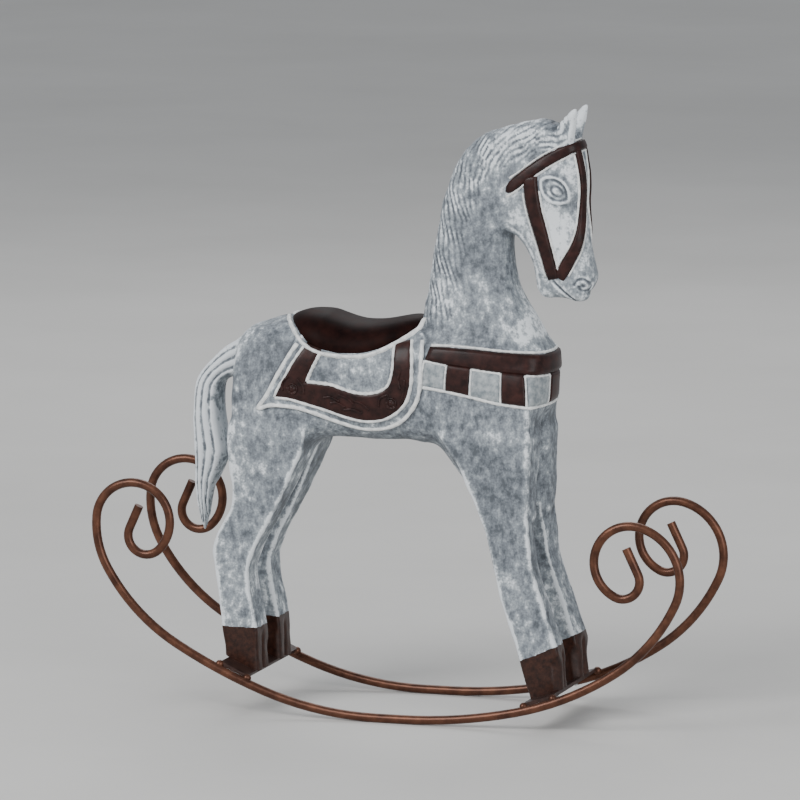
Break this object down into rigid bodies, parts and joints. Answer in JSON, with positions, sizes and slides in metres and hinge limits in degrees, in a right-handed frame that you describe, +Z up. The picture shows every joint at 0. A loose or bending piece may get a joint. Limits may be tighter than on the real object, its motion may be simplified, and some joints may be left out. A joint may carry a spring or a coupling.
{
  "type": "rocking horse ornament",
  "caption": "Table-top carved wooden rocking horse with raised dark tack, standing on two bent-wire rockers with scrolled ends.",
  "frame": {"origin": "middle of the bounding box in X and Y, on the surface the rockers stand on", "axes": "+X the way the horse faces, +Y to the horse's left, +Z up"},
  "size_m": [0.2742, 0.077, 0.2734],
  "materials": {
    "carved_wood": "matt distressed grey-blue paint over carved wood, white rubbed edges",
    "dark_tack": "dark brown gloss lacquer with white painted outlines",
    "rocker_wire": "antique copper-brown lacquer on steel wire",
    "plate_steel": "dark brown lacquer on sheet steel",
    "screw_steel": "zinc plated",
    "dowel_wood": "bare beech"
  },
  "bodies": {
    "root": {"torso": "carved_wood", "neck_and_head": "carved_wood", "tail": "carved_wood", "right_hind_leg": "carved_wood", "left_hind_leg": "carved_wood", "right_foreleg": "carved_wood", "left_foreleg": "carved_wood", "leg_dowels": "dowel_wood", "neck_dowels": "dowel_wood", "tail_dowel": "dowel_wood", "saddle": "dark_tack", "right_cloth_band": "dark_tack", "left_cloth_band": "dark_tack", "cloth_rosettes": "dark_tack", "leaf_ornaments": "dark_tack", "breast_collar": "dark_tack", "collar_tabs": "dark_tack", "crown_strap": "dark_tack", "right_cheek_strap": "dark_tack", "left_cheek_strap": "dark_tack", "right_face_strap": "dark_tack", "left_face_strap": "dark_tack", "right_rocker": "rocker_wire", "left_rocker": "rocker_wire", "rear_foot_plate": "plate_steel", "front_foot_plate": "plate_steel", "hoof_screws": "screw_steel", "weld_beads": "rocker_wire"}
  },
  "joints": []
}
